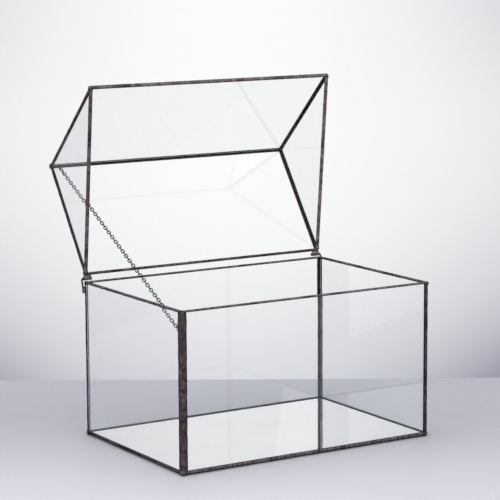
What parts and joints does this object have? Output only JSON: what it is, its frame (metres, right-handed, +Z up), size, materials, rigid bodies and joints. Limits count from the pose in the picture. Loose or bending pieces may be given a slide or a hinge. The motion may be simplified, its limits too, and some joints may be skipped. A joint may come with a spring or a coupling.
{
  "type": "card box",
  "caption": "Rectangular glass box on a mirror base with a hinged gable-shaped glass lid held open by a side chain, all edges in dark soldered seams.",
  "frame": {"origin": "middle of the flat underside of the base", "axes": "+X to the right along the box, +Y to the hinged back, +Z up"},
  "size_m": [0.3046, 0.2835, 0.3708],
  "materials": {
    "glass": "clear float glass with a faint green-blue tint",
    "mirror": "silvered mirror",
    "backing": "grey mirror backing paint",
    "foil": "tinned copper foil under black patina",
    "solder": "hand-run solder with mottled black patina",
    "hinge_tube": "patinated brass tube, worn at the ends",
    "hinge_wire": "darkened wire",
    "chain": "gunmetal plated wire links"
  },
  "bodies": {
    "base": {"base_corner_solder": "solder", "base_foil_back": "foil", "base_foil_front": "foil", "base_foil_left": "foil", "base_foil_right": "foil", "base_glass_back": "glass", "base_glass_front": "glass", "base_glass_left": "glass", "base_glass_right": "glass", "base_rim_solder": "solder", "chain_eye_base": "chain", "floor_seam_back": "solder", "floor_seam_front": "solder", "floor_seam_left": "solder", "floor_seam_right": "solder", "hinge_base_solder": "solder", "hinge_pin_left": "hinge_wire", "hinge_pin_right": "hinge_wire", "mirror_backing": "backing", "mirror_floor": "mirror", "mirror_foil": "foil", "post_back_left": "solder", "post_back_right": "solder", "post_front_left": "solder", "post_front_right": "solder"},
    "lid": {"chain_eye_lid": "chain", "gable_seam_front_left": "solder", "gable_seam_front_right": "solder", "gable_seam_rear_left": "solder", "gable_seam_rear_right": "solder", "hinge_lid_solder": "solder", "hinge_tube_left": "hinge_tube", "hinge_tube_right": "hinge_tube", "lid_foil_front": "foil", "lid_foil_rear": "foil", "lid_gable_foil_left": "foil", "lid_gable_foil_right": "foil", "lid_gable_left": "glass", "lid_gable_right": "glass", "lid_glass_front": "glass", "lid_glass_rear": "glass", "lid_rim_solder": "solder", "ridge_end_solder": "solder", "ridge_seam": "solder"},
    "chain_01": {"chain_run_01": "chain"},
    "chain_02": {"chain_run_02": "chain"},
    "chain_03": {"chain_run_03": "chain"},
    "chain_04": {"chain_run_04": "chain"},
    "chain_05": {"chain_run_05": "chain"},
    "chain_06": {"chain_run_06": "chain"},
    "chain_07": {"chain_run_07": "chain"},
    "chain_08": {"chain_run_08": "chain"},
    "chain_09": {"chain_run_09": "chain"},
    "chain_10": {"chain_run_10": "chain"},
    "chain_11": {"chain_run_11": "chain"},
    "chain_12": {"chain_run_12": "chain"},
    "chain_13": {"chain_run_13": "chain"}
  },
  "joints": [
    {"name": "lid_hinge", "type": "hinge", "parent": "base", "child": "lid", "pos_m": [0, 0.104, 0.1668], "axis": [1, 0, 0], "range_deg": [0, 84.5]},
    {"name": "chain_turn_01", "type": "hinge", "parent": "lid", "child": "chain_01", "pos_m": [-0.138, 0.17267, 0.27789], "axis": [1, 0, 0], "range_deg": [-27.27, 0]},
    {"name": "chain_turn_02", "type": "hinge", "parent": "chain_01", "child": "chain_02", "pos_m": [-0.13884, 0.12025, 0.25082], "axis": [1, 0, 0], "range_deg": [-2.5, 0]},
    {"name": "chain_turn_03", "type": "hinge", "parent": "chain_02", "child": "chain_03", "pos_m": [-0.13957, 0.07501, 0.22745], "axis": [1, 0, 0], "range_deg": [-4.3, 0]},
    {"name": "chain_turn_04", "type": "hinge", "parent": "chain_03", "child": "chain_04", "pos_m": [-0.14006, 0.04484, 0.21187], "axis": [1, 0, 0], "range_deg": [-7.26, 0]},
    {"name": "chain_turn_05", "type": "hinge", "parent": "chain_04", "child": "chain_05", "pos_m": [-0.14042, 0.02222, 0.20018], "axis": [1, 0, 0], "range_deg": [-11.34, 0]},
    {"name": "chain_turn_06", "type": "hinge", "parent": "chain_05", "child": "chain_06", "pos_m": [-0.14061, 0.0109, 0.19434], "axis": [1, 0, 0], "range_deg": [-13.14, 0]},
    {"name": "chain_turn_07", "type": "hinge", "parent": "chain_08", "child": "chain_07", "pos_m": [-0.14085, -0.00418, 0.18655], "axis": [1, 0, 0], "range_deg": [0, 27.02]},
    {"name": "chain_turn_08", "type": "hinge", "parent": "chain_09", "child": "chain_08", "pos_m": [-0.14103, -0.01549, 0.18071], "axis": [1, 0, 0], "range_deg": [0, 27.02]},
    {"name": "chain_turn_09", "type": "hinge", "parent": "chain_10", "child": "chain_09", "pos_m": [-0.14115, -0.02303, 0.17681], "axis": [1, 0, 0], "range_deg": [0, 19.21]},
    {"name": "chain_turn_10", "type": "hinge", "parent": "chain_11", "child": "chain_10", "pos_m": [-0.14127, -0.03057, 0.17292], "axis": [1, 0, 0], "range_deg": [0, 10.65]},
    {"name": "chain_turn_11", "type": "hinge", "parent": "chain_12", "child": "chain_11", "pos_m": [-0.14146, -0.04189, 0.16707], "axis": [1, 0, 0], "range_deg": [0, 8.86]},
    {"name": "chain_turn_12", "type": "hinge", "parent": "chain_13", "child": "chain_12", "pos_m": [-0.14176, -0.06074, 0.15733], "axis": [1, 0, 0], "range_deg": [0, 6.88]},
    {"name": "chain_turn_13", "type": "hinge", "parent": "base", "child": "chain_13", "pos_m": [-0.1423, -0.0943, 0.14], "axis": [1, 0, 0], "range_deg": [-105.34, 0]}
  ],
  "couplings": [
    {"joint": "chain_turn_01", "follows": "lid_hinge", "ratio": -0.32259},
    {"joint": "chain_turn_02", "follows": "lid_hinge", "ratio": -0.029404},
    {"joint": "chain_turn_03", "follows": "lid_hinge", "ratio": -0.050653},
    {"joint": "chain_turn_04", "follows": "lid_hinge", "ratio": -0.08579},
    {"joint": "chain_turn_05", "follows": "lid_hinge", "ratio": -0.13399},
    {"joint": "chain_turn_06", "follows": "lid_hinge", "ratio": -0.15532},
    {"joint": "chain_turn_07", "follows": "lid_hinge", "ratio": 0.31953},
    {"joint": "chain_turn_08", "follows": "lid_hinge", "ratio": 0.31953},
    {"joint": "chain_turn_09", "follows": "lid_hinge", "ratio": 0.22713},
    {"joint": "chain_turn_10", "follows": "lid_hinge", "ratio": 0.12584},
    {"joint": "chain_turn_11", "follows": "lid_hinge", "ratio": 0.10471},
    {"joint": "chain_turn_12", "follows": "lid_hinge", "ratio": 0.081199},
    {"joint": "chain_turn_13", "follows": "lid_hinge", "ratio": -1.2464}
  ]
}
